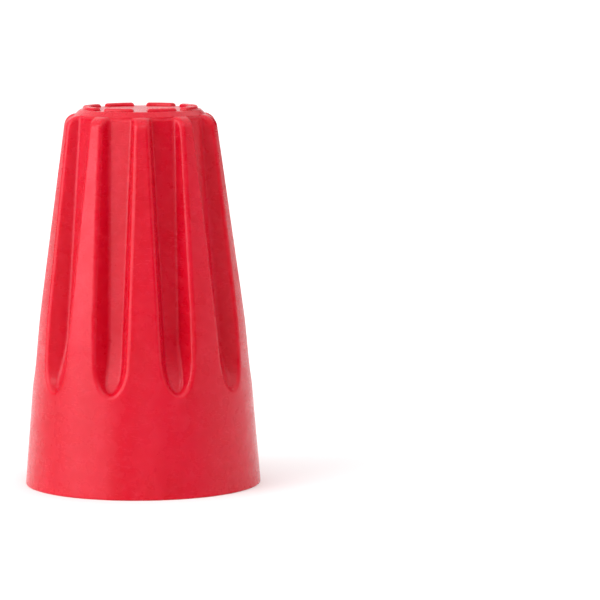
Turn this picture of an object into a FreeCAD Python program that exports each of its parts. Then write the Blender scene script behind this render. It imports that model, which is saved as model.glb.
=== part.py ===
"""Twist-on wire connector: a moulded cap that grips a tapered spring of square wire.

Millimetres, +Z up. The connector stands on its mouth, and the origin is the centre of the
mouth's rim. One rib faces -Y, turned by front_rib_turn. Wires go in through the mouth, along +Z,
and the cap is turned clockwise as seen from its closed end.
"""
import FreeCAD, Part
import math
import os

# Outside of the cap
mouth_diameter = 17.5        # outer diameter of the rim
skirt_height = 12.2          # where the plain skirt turns into the ribbed grip
shoulder_height = 27.5       # flat ends of the ribs
skirt_taper = 0.081          # radius lost per mm of height
grip_taper = 0.134
grip_blend_radius = 60.0     # soft change between the two tapers
rim_edge_round = 0.1
shoulder_round = 1.0

# Grooves between the ribs
rib_count = 10
front_rib_turn = 0.8         # degrees
groove_width = 2.7           # between the edges of two ribs
groove_flank_angle = 29.0    # degrees, lean of each flank
groove_depth_shoulder = 0.84
groove_depth_skirt = 1.41
groove_tip_height = 7.5      # lowest point of a groove
groove_tip_stretch = 1.1     # rounded end of a groove, its length over half its width
groove_tongue_stretch = 7.0  # the same at its floor, which ends in a narrow tongue
groove_tip_draft = 30.0      # degrees, lean of the wall at the tip
groove_run_out_radius = 11.0  # the floor curves out towards its tip
groove_tip_depth = 0.45      # depth left at the tip
rib_edge_round = 0.35
groove_floor_round = 0.3

# Closed end
plateau_inset = 0.03         # from the groove floors' ends to the plateau's foot
plateau_draft = 0.4
plateau_height = 0.36
plateau_round = 0.15
mark_count = 8               # plain raised dashes in a ring
mark_height = 0.24
mark_width = 0.6
mark_margin = 0.15           # from the plateau's edge to the dashes
mark_gap_angle = 14.0        # degrees between two dashes
mark_round = 0.2

# Inside of the skirt
rim_wall = 1.75              # wall of the skirt at the mouth
mouth_chamfer_depth = 0.35
mouth_chamfer_width = 0.2
mouth_land_height = 1.4      # top of the plain ring inside the mouth
thread_pitch = 1.2
thread_height = 0.22         # how far the thread stands out of the wall
thread_round = 0.5           # radius of its rounded section
thread_fade = 0.04           # what is left of that height at the deep end
thread_turns = 6.5
thread_start_turn = 150.0    # degrees, where the thread begins
ledge_count = 3              # fine steps round the spring's mouth
ledge_width = 0.15
ledge_height = 0.1

# Spring
wire_side = 0.75
coil_gap = 0.05              # between neighbouring turns
spring_mouth_radius = 3.8    # middle of the wire, first turn
spring_crown_radius = 1.95   # middle of the wire, last turn
spring_set_in = 0.1          # first turn above the top of the skirt
spring_start_turn = 60.0     # degrees, where the wire's end lies in the mouth
crown_wall = 2.0             # from the spring's pocket to the shoulder

# Fits between the spring and its pocket
pocket_clearance = 0.27      # round the free turns
crown_clearance = 0.1        # past the last turn
seat_grip = 0.02             # seat ribs pinch the last turns by this much
seat_rib_count = 6
seat_rib_width = 1.0
seat_height = 5.0            # seat ribs, measured down from the pocket's end

# Helper sizes
overshoot = 1.0              # tools run past the faces that they cut
groove_overshoot = 0.5       # the same for the grooves, above the ribs' crests
run_out_turn = 40.0          # degrees, the run-out's arc goes on past the surface

TOUCH = 1e-4                 # closer than this counts as touching

UP = FreeCAD.Vector(0, 0, 1)
ORIGIN = FreeCAD.Vector(0, 0, 0)
mouth_radius = mouth_diameter / 2
skirt_top_radius = mouth_radius - skirt_taper * skirt_height
grip_height = shoulder_height - skirt_height
flank_slope = math.tan(math.radians(groove_flank_angle)) * math.hypot(1, grip_taper)
bore_radius = mouth_radius - rim_wall
wire_corner = wire_side / math.sqrt(2)
coil_pitch = 2 * wire_corner + coil_gap
pocket_end = shoulder_height - crown_wall
spring_low = skirt_height + spring_set_in
spring_first = spring_low + wire_corner
spring_last = pocket_end - crown_clearance - wire_corner
spring_taper = (spring_mouth_radius - spring_crown_radius) / (spring_last - spring_first)


def point(radius, height):
    """A point in the half-plane that the round profiles are drawn in."""
    return FreeCAD.Vector(radius, 0, height)


def closed_wire(points):
    return Part.makePolygon(points + [points[0]])


def revolved(wire):
    """A solid of revolution about the cap's axis."""
    return Part.Face(wire).revolve(ORIGIN, UP, 360)


def cone_between(low_radius, low, high_radius, high):
    return Part.makeCone(low_radius, high_radius, high - low, point(0, low))


def grip_radius(height):
    """Radius of the rib crests' cone, which can be asked for at any height."""
    return skirt_top_radius - grip_taper * (height - skirt_height)


def skirt_radius(height):
    return mouth_radius - skirt_taper * height


def groove_depth(height):
    share = (height - skirt_height) / grip_height
    return groove_depth_skirt + share * (groove_depth_shoulder - groove_depth_skirt)


def floor_radius(height):
    """Distance of a groove's flat floor from the axis."""
    return grip_radius(height) - groove_depth(height)


def outer_edges():
    """Edges of the outer profile, from the rim's edge up to the shoulder's."""
    corner = point(skirt_top_radius, skirt_height)
    low = point(mouth_radius, 0)
    high = point(grip_radius(shoulder_height), shoulder_height)
    down = (low - corner).normalize()
    up = (high - corner).normalize()
    half_turn = (math.pi - down.getAngle(up)) / 2
    reach = grip_blend_radius * math.tan(half_turn)
    bulge = grip_blend_radius * (1 / math.cos(half_turn) - 1)
    start = corner + down * reach
    end = corner + up * reach
    middle = corner + (down + up).normalize() * bulge
    blend = Part.Arc(start, middle, end).toShape()
    return [Part.LineSegment(low, start).toShape(), blend, Part.LineSegment(end, high).toShape()]


def circles_at(shape, height):
    """Round edges of a shape at a height."""
    found = []
    for edge in shape.Edges:
        box = edge.BoundBox
        if abs(box.ZMin - height) + box.ZLength < TOUCH and box.XLength > TOUCH:
            found.append(edge)
    return found


def blank():
    """The cap's outside before the grooves, rounded at the rim and the shoulder."""
    top = point(0, shoulder_height)
    outline = outer_edges()
    outline.append(Part.LineSegment(point(grip_radius(shoulder_height), shoulder_height), top).toShape())
    outline.append(Part.LineSegment(top, ORIGIN).toShape())
    outline.append(Part.LineSegment(ORIGIN, point(mouth_radius, 0)).toShape())
    body = revolved(Part.Wire(outline))
    body = body.makeFillet(rim_edge_round, circles_at(body, 0))
    return body.makeFillet(shoulder_round, circles_at(body, shoulder_height))


def groove_outline(level, stretch):
    """Outline of a groove's slot at a level above the ribs' crests, in the crests' own frame.

    Its lower end is half an ellipse, stretch times as long as it is wide.
    """
    half = groove_width / 2 + level * flank_slope
    tip = FreeCAD.Vector(level, 0, -level * math.tan(math.radians(groove_tip_draft)))
    centre = tip + UP * half * stretch
    left = centre + FreeCAD.Vector(0, -half, 0)
    right = centre + FreeCAD.Vector(0, half, 0)
    top = UP * (2 * grip_height - centre.z)
    return Part.Wire([
        Part.ArcOfEllipse(Part.Ellipse(tip, left, centre), -math.pi / 2, math.pi / 2).toShape(),
        Part.LineSegment(right, right + top).toShape(),
        Part.LineSegment(right + top, left + top).toShape(),
        Part.LineSegment(left + top, left).toShape(),
    ])


def groove_envelope():
    """Drafted slot with a round lower end, along +X, wider outwards."""
    floor = groove_outline(-groove_depth(groove_tip_height), groove_tongue_stretch)
    mouth = groove_outline(groove_overshoot, groove_tip_stretch)
    envelope = Part.makeLoft([floor, mouth], True, True)
    envelope.rotate(ORIGIN, FreeCAD.Vector(0, 1, 0), -math.degrees(math.atan(grip_taper)))
    sunk = grip_radius(groove_tip_height) - skirt_radius(groove_tip_height)
    tip_height = groove_tip_height - sunk * math.tan(math.radians(groove_tip_draft))
    envelope.translate(point(grip_radius(tip_height), tip_height))
    return envelope


def floor_arc():
    """The run-out at a groove's lower end: its start on the floor, its middle and its end."""
    depth = skirt_radius(groove_tip_height) - floor_radius(groove_tip_height) - groove_tip_depth
    run = math.sqrt(groove_run_out_radius ** 2 - (groove_run_out_radius - depth) ** 2)
    start_height = groove_tip_height + run
    start = point(floor_radius(start_height), start_height)
    up = (point(floor_radius(shoulder_height), shoulder_height) - start).normalize()
    out = FreeCAD.Vector(up.z, 0, -up.x)
    centre = start + out * groove_run_out_radius
    points = []
    for angle in (0, run_out_turn / 2, run_out_turn):
        turn = math.radians(angle)
        points.append(centre - (out * math.cos(turn) + up * math.sin(turn)) * groove_run_out_radius)
    return points


def floor_limit():
    """Everything outside a groove's floor, whose lower end curves out towards the surface."""
    start, middle, end = floor_arc()
    top = shoulder_height + 2 * overshoot
    high = point(floor_radius(top), top)
    far = mouth_radius + groove_run_out_radius
    outline = [
        Part.Arc(start, middle, end).toShape(),
        Part.LineSegment(end, point(far, end.z)).toShape(),
        Part.LineSegment(point(far, end.z), point(far, top)).toShape(),
        Part.LineSegment(point(far, top), high).toShape(),
        Part.LineSegment(high, start).toShape(),
    ]
    side = Part.Face(Part.Wire(outline))
    side.translate(FreeCAD.Vector(0, -groove_width, 0))
    return side.extrude(FreeCAD.Vector(0, 2 * groove_width, 0))


def is_floor(face):
    """True for the flat floor of a groove's tool, and for its run-out."""
    if isinstance(face.Surface, Part.Cylinder):
        return abs(face.Surface.Radius - groove_run_out_radius) < TOUCH
    on_floor = Part.Vertex(point(floor_radius(shoulder_height), shoulder_height))
    return isinstance(face.Surface, Part.Plane) and face.distToShape(on_floor)[0] < TOUCH


def floor_corners(tool):
    """Edges between a groove's floor and the walls round it."""
    corners = []
    for edge in tool.Edges:
        faces = tool.ancestorsOfType(edge, Part.Face)
        level = edge.BoundBox.ZLength < TOUCH
        if not level and len(faces) == 2 and is_floor(faces[0]) != is_floor(faces[1]):
            corners.append(edge)
    return corners


def groove_tool():
    """One groove, ready to be cut, with its floor's corners rounded."""
    tool = groove_envelope().common(floor_limit()).Solids[0]
    return tool.makeFillet(groove_floor_round, floor_corners(tool))


def turned(shape, angle):
    copy = shape.copy()
    copy.rotate(ORIGIN, UP, angle)
    return copy


def is_outside(face):
    """True for a face of the cap's round outside, whose axis is upright."""
    if isinstance(face.Surface, (Part.SurfaceOfRevolution, Part.Toroid)):
        return True
    return isinstance(face.Surface, Part.Cone) and abs(abs(face.Surface.Axis.z) - 1) < TOUCH


def rib_edges(shape):
    """Edges between the cap's round outside and the walls of the grooves."""
    edges = []
    for edge in shape.Edges:
        faces = shape.ancestorsOfType(edge, Part.Face)
        level = edge.BoundBox.ZLength < TOUCH
        if not level and len(faces) == 2 and is_outside(faces[0]) != is_outside(faces[1]):
            edges.append(edge)
    return edges


def grooved_body():
    """The cap's solid outside, with its grooves."""
    step = 360 / rib_count
    first = -90 + front_rib_turn + step / 2
    tool = groove_tool()
    tools = [turned(tool, first + step * index) for index in range(rib_count)]
    body = blank().cut(tools).Solids[0]
    return body.makeFillet(rib_edge_round, rib_edges(body))


def plateau():
    """The raised disc on the closed end."""
    foot = floor_radius(shoulder_height) - plateau_inset
    top = shoulder_height + plateau_height
    disc = revolved(closed_wire([
        point(0, shoulder_height - overshoot),
        point(foot, shoulder_height - overshoot),
        point(foot, shoulder_height),
        point(foot - plateau_draft, top),
        point(0, top),
    ]))
    return disc.makeFillet(plateau_round, circles_at(disc, top))


def dash(index):
    """One of the raised dashes that ring the plateau."""
    step = 360 / mark_count
    outer = floor_radius(shoulder_height) - plateau_inset - plateau_draft - mark_margin
    low = shoulder_height + plateau_height - mark_height
    high = shoulder_height + plateau_height + mark_height
    section = closed_wire([
        point(outer - mark_width, low),
        point(outer, low),
        point(outer, high),
        point(outer - mark_width, high),
    ])
    bar = Part.Face(section).revolve(ORIGIN, UP, step - mark_gap_angle)
    top = [edge for edge in bar.Edges if abs(edge.BoundBox.ZMin - high) < TOUCH]
    return turned(bar.makeFillet(mark_round, top), step * index + mark_gap_angle / 2)


def wire_middle(height):
    """Distance of the spring wire's middle from the axis."""
    return spring_mouth_radius - spring_taper * (height - spring_first)


def pocket_radius(height):
    return wire_middle(height) + wire_corner + pocket_clearance


def tapered_helix(pitch, low_radius, low, high_radius, high):
    """Right-handed helix on a cone, starting on +X."""
    angle = math.degrees(math.atan((high_radius - low_radius) / (high - low)))
    helix = Part.makeLongHelix(pitch, high - low, low_radius, angle)
    helix.translate(point(0, low))
    return helix


def spring():
    """Close-wound tapered coil whose square wire stands on its corners."""
    section = closed_wire([
        point(spring_mouth_radius - wire_corner, spring_first),
        point(spring_mouth_radius, spring_first - wire_corner),
        point(spring_mouth_radius + wire_corner, spring_first),
        point(spring_mouth_radius, spring_first + wire_corner),
    ])
    path = tapered_helix(coil_pitch, spring_mouth_radius, spring_first, spring_crown_radius, spring_last)
    return turned(path.makePipeShell([section], True, True), spring_start_turn)


def wall_top():
    """Where the skirt's inner wall meets the ledges round the spring's mouth."""
    radius = pocket_radius(spring_low) + ledge_count * ledge_width
    return radius, spring_low - ledge_count * ledge_height


def wall_radius(height):
    """Radius of the skirt's inner wall."""
    radius, top = wall_top()
    share = (height - mouth_land_height) / (top - mouth_land_height)
    return bore_radius + share * (radius - bore_radius)


def hollow():
    """The round space inside the cap, without thread or seat ribs."""
    radius, height = wall_top()
    outline = [
        point(0, -overshoot),
        point(bore_radius + mouth_chamfer_width, -overshoot),
        point(bore_radius + mouth_chamfer_width, 0),
        point(bore_radius, mouth_chamfer_depth),
        point(bore_radius, mouth_land_height),
        point(radius, height),
    ]
    for _ in range(ledge_count):
        radius -= ledge_width
        outline.append(point(radius, height))
        height += ledge_height
        outline.append(point(radius, height))
    outline.append(point(pocket_radius(pocket_end), pocket_end))
    outline.append(point(0, pocket_end))
    return revolved(closed_wire(outline))


def thread():
    """The rounded thread that stands out of the skirt's inner wall."""
    low = mouth_land_height + thread_round
    high = low + thread_turns * thread_pitch
    low_radius = wall_radius(low) + thread_round - thread_height
    high_radius = wall_radius(high) + thread_round - thread_fade
    circle = Part.makeCircle(thread_round, point(low_radius, low), FreeCAD.Vector(0, 1, 0))
    path = tapered_helix(thread_pitch, low_radius, low, high_radius, high)
    return turned(path.makePipeShell([Part.Wire(circle)], True, True), thread_start_turn)


def seat_ribs():
    """Lengthwise ribs in the pocket's closed end, which pinch the spring's last turns."""
    low = pocket_end - seat_height
    high = pocket_end
    inset = pocket_clearance + seat_grip
    ring = cone_between(pocket_radius(low), low, pocket_radius(high), high)
    ring = ring.cut(cone_between(pocket_radius(low) - inset, low, pocket_radius(high) - inset, high))
    slabs = []
    for index in range(seat_rib_count):
        slab = Part.makeBox(pocket_radius(low), seat_rib_width, seat_height,
                            FreeCAD.Vector(0, -seat_rib_width / 2, low))
        slabs.append(turned(slab, 360 / seat_rib_count * index))
    return ring.common(slabs[0].fuse(slabs[1:]))


def shell():
    """The moulded cap."""
    marks = [dash(index) for index in range(mark_count)]
    outside = grooved_body().fuse([plateau()] + marks)
    inside = hollow().cut([thread(), seat_ribs()])
    return outside.cut(inside)


def main():
    os.makedirs("parts", exist_ok=True)
    for name, make in (("shell", shell), ("spring", spring)):
        solid = make().Solids[0]
        if not solid.isValid():
            raise ValueError(name + " is not a valid solid")
        solid.exportStep("parts/" + name + ".step")


main()
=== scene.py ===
"""Looks of the twist-on wire connector: its materials, a pale floor, soft light and the camera."""
import bpy
import math
from mathutils import Matrix, Vector


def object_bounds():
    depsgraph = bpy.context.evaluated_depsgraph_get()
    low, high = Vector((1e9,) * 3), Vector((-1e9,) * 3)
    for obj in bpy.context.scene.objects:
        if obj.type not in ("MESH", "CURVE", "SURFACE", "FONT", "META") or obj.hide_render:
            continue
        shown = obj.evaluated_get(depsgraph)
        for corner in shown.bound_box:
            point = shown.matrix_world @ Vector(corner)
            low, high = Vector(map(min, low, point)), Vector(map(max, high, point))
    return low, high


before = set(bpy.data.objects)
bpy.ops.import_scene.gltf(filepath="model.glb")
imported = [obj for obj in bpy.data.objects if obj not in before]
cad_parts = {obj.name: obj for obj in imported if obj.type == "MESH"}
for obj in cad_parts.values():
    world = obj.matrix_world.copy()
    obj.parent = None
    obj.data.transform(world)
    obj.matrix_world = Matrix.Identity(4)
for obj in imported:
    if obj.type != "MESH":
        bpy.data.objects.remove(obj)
CAD_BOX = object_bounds()

MM = 0.001
PER_MM = 1 / MM              # texture scales are given as features per millimetre

# Red plastic
RED = (0.58, 0.0012, 0.018, 1)
RED_DEEP = (0.53, 0.0008, 0.012, 1)
RED_PALE = (0.66, 0.022, 0.045, 1)
DUST = (0.80, 0.35, 0.36, 1)
FLOW_PER_MM = 0.35           # slow changes of colour along the flow
MOTTLE_PER_MM = 1.6
FINE_SPECKS_PER_MM = 4.5
DUST_SPECKS_PER_MM = 0.8
SCUFFS_PER_MM = 2.2
GLOSS_PER_MM = 0.9           # changes of gloss
SWELL_PER_MM = 1.4           # gentle unevenness of the surface
GRAIN_PER_MM = 9.0
SWELL_DEPTH = 0.007 * MM
GRAIN_DEPTH = 0.002 * MM

# Drawn steel
STEEL = (0.64, 0.62, 0.60, 1)
STEEL_DARK = (0.42, 0.40, 0.39, 1)
DRAWN_LINES_PER_MM = 9.0
DULL_PATCHES_PER_MM = 0.8
DRAWN_DEPTH = 0.01 * MM

# Camera
LENS = 216                   # both in millimetres
SENSOR = 36
NEAREST = 10 * MM
CAMERA_DISTANCE = 266 * MM   # from the cap's axis
CAMERA_HEIGHT = 43.3 * MM
LOOK_RIGHT = 2.53            # degrees, which puts the cap left of the middle
LOOK_DOWN = 6.377
ROLL = 0.21

# Studio
FLOOR_GREY = (0.92, 0.92, 0.92, 1)
FLOOR_RADIUS = 6.0
FLOOR_SIDES = 64
RIM_COVER = 0.1 * MM         # the floor ends this far inside the rim, under it


class Material:
    """A material and short ways of adding nodes to it."""

    def __init__(self, name):
        self.data = bpy.data.materials.new(name)
        self.data.use_nodes = True
        self.tree = self.data.node_tree
        self.shader = self.tree.nodes["Principled BSDF"]

    def set(self, **values):
        for name, value in values.items():
            self.shader.inputs[name.replace("_", " ")].default_value = value

    def node(self, kind, **sockets):
        new = self.tree.nodes.new("ShaderNode" + kind)
        for name, value in sockets.items():
            self.feed(value, new.inputs[name.replace("_", " ")])
        return new

    def feed(self, value, socket):
        """Link an output to a socket, or set the socket to a number."""
        if isinstance(value, bpy.types.NodeSocket):
            self.tree.links.new(value, socket)
        else:
            socket.default_value = value

    def place(self):
        """Position on the object, in metres."""
        return self.node("TexCoord").outputs["Object"]

    def math(self, operation, first, second=0.0):
        new = self.tree.nodes.new("ShaderNodeMath")
        new.operation = operation
        self.feed(first, new.inputs[0])
        self.feed(second, new.inputs[1])
        return new.outputs[0]

    def stretched(self, vector, scale):
        """A position with its axes scaled by different amounts."""
        return self.node("Mapping", Vector=vector, Scale=scale).outputs[0]

    def noise(self, vector, per_mm, detail=2.0):
        new = self.node("TexNoise", Vector=vector, Scale=per_mm * PER_MM, Detail=detail)
        return new.outputs["Fac"]

    def span(self, value, low, high, new_low=0.0, new_high=1.0):
        """Map a range of values onto another one."""
        new = self.tree.nodes.new("ShaderNodeMapRange")
        for socket, number in zip(new.inputs[:5], (value, low, high, new_low, new_high)):
            self.feed(number, socket)
        return new.outputs[0]

    def blend(self, share, first, second):
        """Mix of two colours."""
        new = self.tree.nodes.new("ShaderNodeMix")
        new.data_type = "RGBA"
        self.feed(share, new.inputs[0])
        self.feed(first, new.inputs[6])
        self.feed(second, new.inputs[7])
        return new.outputs[2]

    def bump(self, height, distance, normal=None):
        new = self.node("Bump", Height=height, Distance=distance)
        if normal:
            self.feed(normal, new.inputs["Normal"])
        return new.outputs[0]


def dress(node, material):
    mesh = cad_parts[node].data
    mesh.materials.clear()
    mesh.materials.append(material.data)


def specks(material, place, per_mm, radius, share):
    """Scattered dots: 1 at the middle of each, 0 between them.

    One cell in the share holds a dot, and the radius is in cells.
    """
    cells = material.node("TexVoronoi", Vector=place, Scale=per_mm * PER_MM)
    draw = material.node("SeparateColor", Color=cells.outputs["Color"]).outputs[0]
    chosen = material.math("LESS_THAN", draw, share)
    dot = material.span(cells.outputs["Distance"], radius, radius * 0.4)
    return material.math("MULTIPLY", chosen, dot)


def red_plastic():
    """Semi-gloss moulded plastic: faint flow marks, tiny specks, fine grain and handling scuffs."""
    material = Material("red_plastic")
    place = material.place()

    flow = material.noise(material.stretched(place, (1, 1, 0.3)), FLOW_PER_MM, 3.0)
    colour = material.blend(material.span(flow, 0.35, 0.65), RED_DEEP, RED)
    mottle = material.span(material.noise(place, MOTTLE_PER_MM, 3.0), 0.45, 0.7, 0.0, 0.25)
    colour = material.blend(mottle, colour, RED_PALE)
    fine = material.math("MULTIPLY", specks(material, place, FINE_SPECKS_PER_MM, 0.25, 0.35), 0.35)
    colour = material.blend(fine, colour, RED_PALE)
    dust = material.math("MULTIPLY", specks(material, place, DUST_SPECKS_PER_MM, 0.07, 0.12), 0.6)
    colour = material.blend(dust, colour, DUST)
    scuffed = material.noise(material.stretched(place, (1, 1, 4)), SCUFFS_PER_MM, 4.0)
    scuff = material.span(scuffed, 0.60, 0.70, 0.0, 0.25)
    colour = material.blend(scuff, colour, RED_PALE)
    material.feed(colour, material.shader.inputs["Base Color"])

    smooth = material.span(material.noise(place, GLOSS_PER_MM, 4.0), 0.3, 0.7, 0.22, 0.34)
    material.feed(material.math("ADD", smooth, scuff), material.shader.inputs["Roughness"])

    normal = material.bump(material.noise(place, SWELL_PER_MM), SWELL_DEPTH)
    normal = material.bump(material.noise(place, GRAIN_PER_MM), GRAIN_DEPTH, normal)
    material.feed(normal, material.shader.inputs["Normal"])

    material.set(IOR=1.45, Specular_Tint=(1.0, 0.65, 0.7, 1), Subsurface_Weight=0.35,
                 Subsurface_Radius=(1.0, 0.1, 0.08), Subsurface_Scale=1.5 * MM)
    return material


def drawn_steel():
    """Bright drawn wire: fine lines along the wire and dull patches."""
    material = Material("spring_steel")
    place = material.place()
    x, y, z = material.node("SeparateXYZ", Vector=place).outputs
    squares = [material.math("MULTIPLY", side, side) for side in (x, y)]
    from_axis = material.math("SQRT", material.math("ADD", *squares))
    section = material.node("CombineXYZ", X=from_axis, Y=0.0, Z=z).outputs[0]
    drawn = material.noise(section, DRAWN_LINES_PER_MM, 3.0)
    dull = material.noise(place, DULL_PATCHES_PER_MM, 3.0)
    colour = material.blend(material.span(dull, 0.4, 0.65), STEEL, STEEL_DARK)
    material.feed(colour, material.shader.inputs["Base Color"])
    material.feed(material.span(drawn, 0.3, 0.7, 0.22, 0.42), material.shader.inputs["Roughness"])
    material.feed(material.bump(drawn, DRAWN_DEPTH), material.shader.inputs["Normal"])
    material.set(Metallic=1.0)
    return material


def rotation(degrees, axis):
    return Matrix.Rotation(math.radians(degrees), 4, axis)


def camera():
    """A long lens in front of the cap, a little above it."""
    data = bpy.data.cameras.new("camera")
    data.lens = LENS
    data.sensor_width = SENSOR
    data.clip_start = NEAREST
    cam = bpy.data.objects.new("camera", data)
    bpy.context.scene.collection.objects.link(cam)
    cam.location = (0, -CAMERA_DISTANCE, CAMERA_HEIGHT)
    turn = rotation(-LOOK_RIGHT, "Z") @ rotation(90 - LOOK_DOWN, "X") @ rotation(-ROLL, "Z")
    cam.rotation_euler = turn.to_euler()
    bpy.context.scene.camera = cam


def floor():
    """A pale floor, open under the mouth and clear from below, so that the inside can be seen."""
    inner = CAD_BOX[1][0] - RIM_COVER
    corners = []
    faces = []
    for side in range(FLOOR_SIDES):
        turn = 2 * math.pi * side / FLOOR_SIDES
        corners += [(radius * math.cos(turn), radius * math.sin(turn), 0) for radius in (inner, FLOOR_RADIUS)]
        following = (side + 1) % FLOOR_SIDES
        faces.append((2 * side, 2 * side + 1, 2 * following + 1, 2 * following))
    mesh = bpy.data.meshes.new("floor")
    mesh.from_pydata(corners, [], faces)
    plane = bpy.data.objects.new("floor", mesh)
    bpy.context.scene.collection.objects.link(plane)
    material = Material("floor")
    material.set(Base_Color=FLOOR_GREY, Roughness=0.9)
    clear = material.node("BsdfTransparent").outputs[0]
    behind = material.node("NewGeometry").outputs["Backfacing"]
    mix = material.node("MixShader")
    for value, socket in zip((behind, material.shader.outputs[0], clear), mix.inputs):
        material.feed(value, socket)
    material.feed(mix.outputs[0], material.tree.nodes["Material Output"].inputs["Surface"])
    mesh.materials.append(material.data)


class Studio:
    """Soft light from all round: each glow is a soft patch of the sky, as a soft box would be."""

    def __init__(self):
        world = bpy.data.worlds.new("studio")
        bpy.context.scene.world = world
        world.use_nodes = True
        self.tree = world.node_tree
        self.sky = self.tree.nodes.new("ShaderNodeTexCoord").outputs["Generated"]
        self.total = None

    def vector(self, operation, first, second=None):
        new = self.tree.nodes.new("ShaderNodeVectorMath")
        new.operation = operation
        for value, socket in zip((first, second), new.inputs):
            if isinstance(value, bpy.types.NodeSocket):
                self.tree.links.new(value, socket)
            elif value is not None:
                socket.default_value = value
        return new.outputs["Value" if operation == "DOT_PRODUCT" else "Vector"]

    def glow(self, azimuth, elevation, reach, strength, tall=1.0):
        """A white patch round a direction; azimuth 0 is behind the camera, 90 is its right.

        It is even up to the first reach and gone at the second, both in degrees. Near the horizon
        it is tall times as high as it is wide.
        """
        turn, rise = math.radians(azimuth), math.radians(elevation)
        middle = (math.sin(turn) * math.cos(rise), -math.cos(turn) * math.cos(rise), math.sin(rise) / tall)
        seen = self.vector("NORMALIZE", self.vector("MULTIPLY", self.sky, (1, 1, 1 / tall)))
        near = self.vector("DOT_PRODUCT", seen, Vector(middle).normalized())
        fade = self.tree.nodes.new("ShaderNodeMapRange")
        fade.interpolation_type = "SMOOTHSTEP"
        self.tree.links.new(near, fade.inputs["Value"])
        fade.inputs["From Min"].default_value = math.cos(math.radians(reach[1]))
        fade.inputs["From Max"].default_value = math.cos(math.radians(reach[0]))
        patch = self.vector("SCALE", (strength, strength, strength))
        self.tree.links.new(fade.outputs[0], patch.node.inputs["Scale"])
        self.total = patch if self.total is None else self.vector("ADD", self.total, patch)

    def finish(self):
        self.tree.links.new(self.total, self.tree.nodes["Background"].inputs["Color"])


def studio():
    """A wide light overhead, a key light at the left, and weaker patches round the cap."""
    light = Studio()
    light.glow(0, 90, (50, 75), 1.25)                # overhead
    light.glow(-58, 12, (10, 34), 3.8, tall=1.6)     # key, front left
    light.glow(-85, 8, (5, 22), 1.5, tall=1.6)       # left side
    light.glow(88, 8, (10, 36), 0.8)                 # right side
    light.glow(3, 10, (4, 16), 0.7, tall=2.0)        # low in front
    light.glow(14, 46, (4, 11), 6.0)                 # small and high in front
    light.glow(192, 0, (20, 38), 1.0)                # behind
    light.glow(0, -90, (60, 88), 0.9)                # below, for the inside
    light.finish()


dress("shell", red_plastic())
dress("spring", drawn_steel())
floor()
studio()
camera()
bpy.context.scene.view_settings.view_transform = "Standard"
